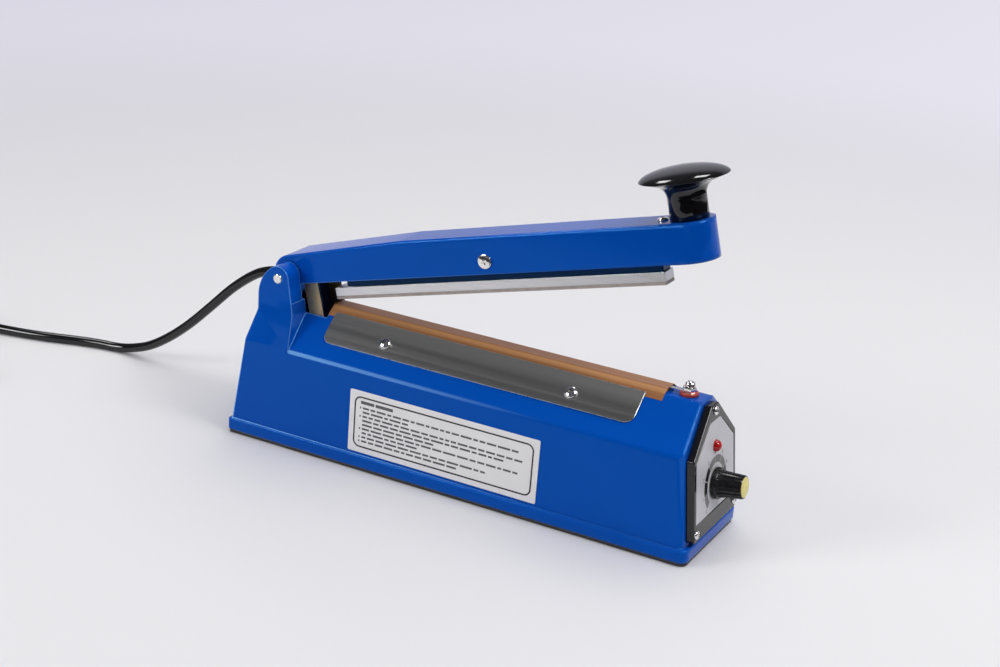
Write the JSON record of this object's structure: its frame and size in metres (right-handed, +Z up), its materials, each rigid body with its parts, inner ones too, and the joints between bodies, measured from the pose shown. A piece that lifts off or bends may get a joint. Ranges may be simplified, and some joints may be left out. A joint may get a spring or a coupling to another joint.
{
  "type": "bag sealer",
  "caption": "Blue hand impulse bag sealer with a hinged pressing arm, black mushroom handle, timer dial on its end and a mains lead.",
  "frame": {"origin": "under the middle of the foot flange, on the surface that it stands on", "axes": "+X along the body towards the dial end, -Y towards the label side, +Z up"},
  "size_m": [0.6669, 0.138, 0.2232],
  "materials": {
    "blue_paint": "gloss",
    "black_steel": "satin",
    "plated_steel": "satin",
    "label_white": "satin",
    "black_plastic": "satin",
    "black_gloss": "gloss",
    "silver_plate": "satin",
    "lamp_red": "gloss",
    "yellow_plastic": "satin",
    "board_green": "satin",
    "core_steel": "satin",
    "winding": "satin",
    "ledge_brown": "matte",
    "tape_tan": "matte",
    "ptfe_brown": "satin",
    "dark_steel": "satin",
    "red_fibre": "satin",
    "yellow_zinc": "satin",
    "aluminium": "satin",
    "silicone": "matte",
    "white_plastic": "satin",
    "black_rubber": "satin",
    "brass": "satin"
  },
  "bodies": {
    "base": {"housing": "blue_paint", "base_plate": "black_steel", "base_screws": "plated_steel", "panel_screws": "plated_steel", "pot_nut": "plated_steel", "transformer_strap": "plated_steel", "transformer_screws": "plated_steel", "clamp_screws": "plated_steel", "terminal_stud": "plated_steel", "terminal_nuts": "plated_steel", "end_terminal_screw": "plated_steel", "pivot_pin": "plated_steel", "return_spring": "plated_steel", "spring_anchor": "plated_steel", "switch_bracket": "plated_steel", "timer_pot": "plated_steel", "heating_element": "plated_steel", "label_plate": "label_white", "control_bezel": "black_plastic", "micro_switch": "black_plastic", "board_parts": "black_plastic", "plug_body": "black_plastic", "faceplate": "silver_plate", "indicator_lamp": "lamp_red", "circuit_board": "board_green", "transformer_core": "core_steel", "transformer_coil": "winding", "sealing_ledge": "ledge_brown", "end_terminal_block": "ledge_brown", "insulating_tape": "tape_tan", "ptfe_cover": "ptfe_brown", "front_clamp_plate": "dark_steel", "rear_clamp_plate": "dark_steel", "terminal_bush": "red_fibre", "strain_relief": "black_rubber", "cord_free": "black_rubber", "cord_coil": "black_rubber", "coil_tie": "black_rubber", "plug_pins": "brass"},
    "arm": {"arm_shell": "blue_paint", "lever_channel": "yellow_zinc", "handle_knob": "black_gloss", "handle_screw": "plated_steel", "arm_screw": "plated_steel", "bar_screw": "plated_steel", "bar_nut": "plated_steel", "bar_spacers": "aluminium"},
    "presser": {"bar_carrier": "blue_paint", "presser_bar": "aluminium", "silicone_strip": "silicone"},
    "dial": {"timer_knob": "black_plastic", "knob_cap": "yellow_plastic", "pot_shaft": "plated_steel"},
    "button": {"switch_button": "white_plastic"}
  },
  "joints": [
    {"name": "arm_hinge", "type": "hinge", "parent": "base", "child": "arm", "pos_m": [-0.1312, 0, 0.1072], "axis": [0, 1, 0], "range_deg": [0, 13.16], "stiffness_Nm_per_rad": 4, "springref_deg": -20.05},
    {"name": "presser_rock", "type": "hinge", "parent": "arm", "child": "presser", "pos_m": [0.00645, 0, 0.14447], "axis": [0, 1, 0], "range_deg": [0, 1.59]},
    {"name": "dial_turn", "type": "hinge", "parent": "base", "child": "dial", "pos_m": [0.1634, 0, 0.03933], "axis": [0.9939, 0, 0.1106], "range_deg": [-135, 135]},
    {"name": "button_press", "type": "slide", "parent": "base", "child": "button", "axis": [-1, 0, 0], "range_m": [0, 0.0012], "stiffness_N_per_m": 150, "springref_m": -0.002}
  ],
  "couplings": [
    {"joint": "presser_rock", "follows": "arm_hinge", "ratio": 0.1206}
  ]
}
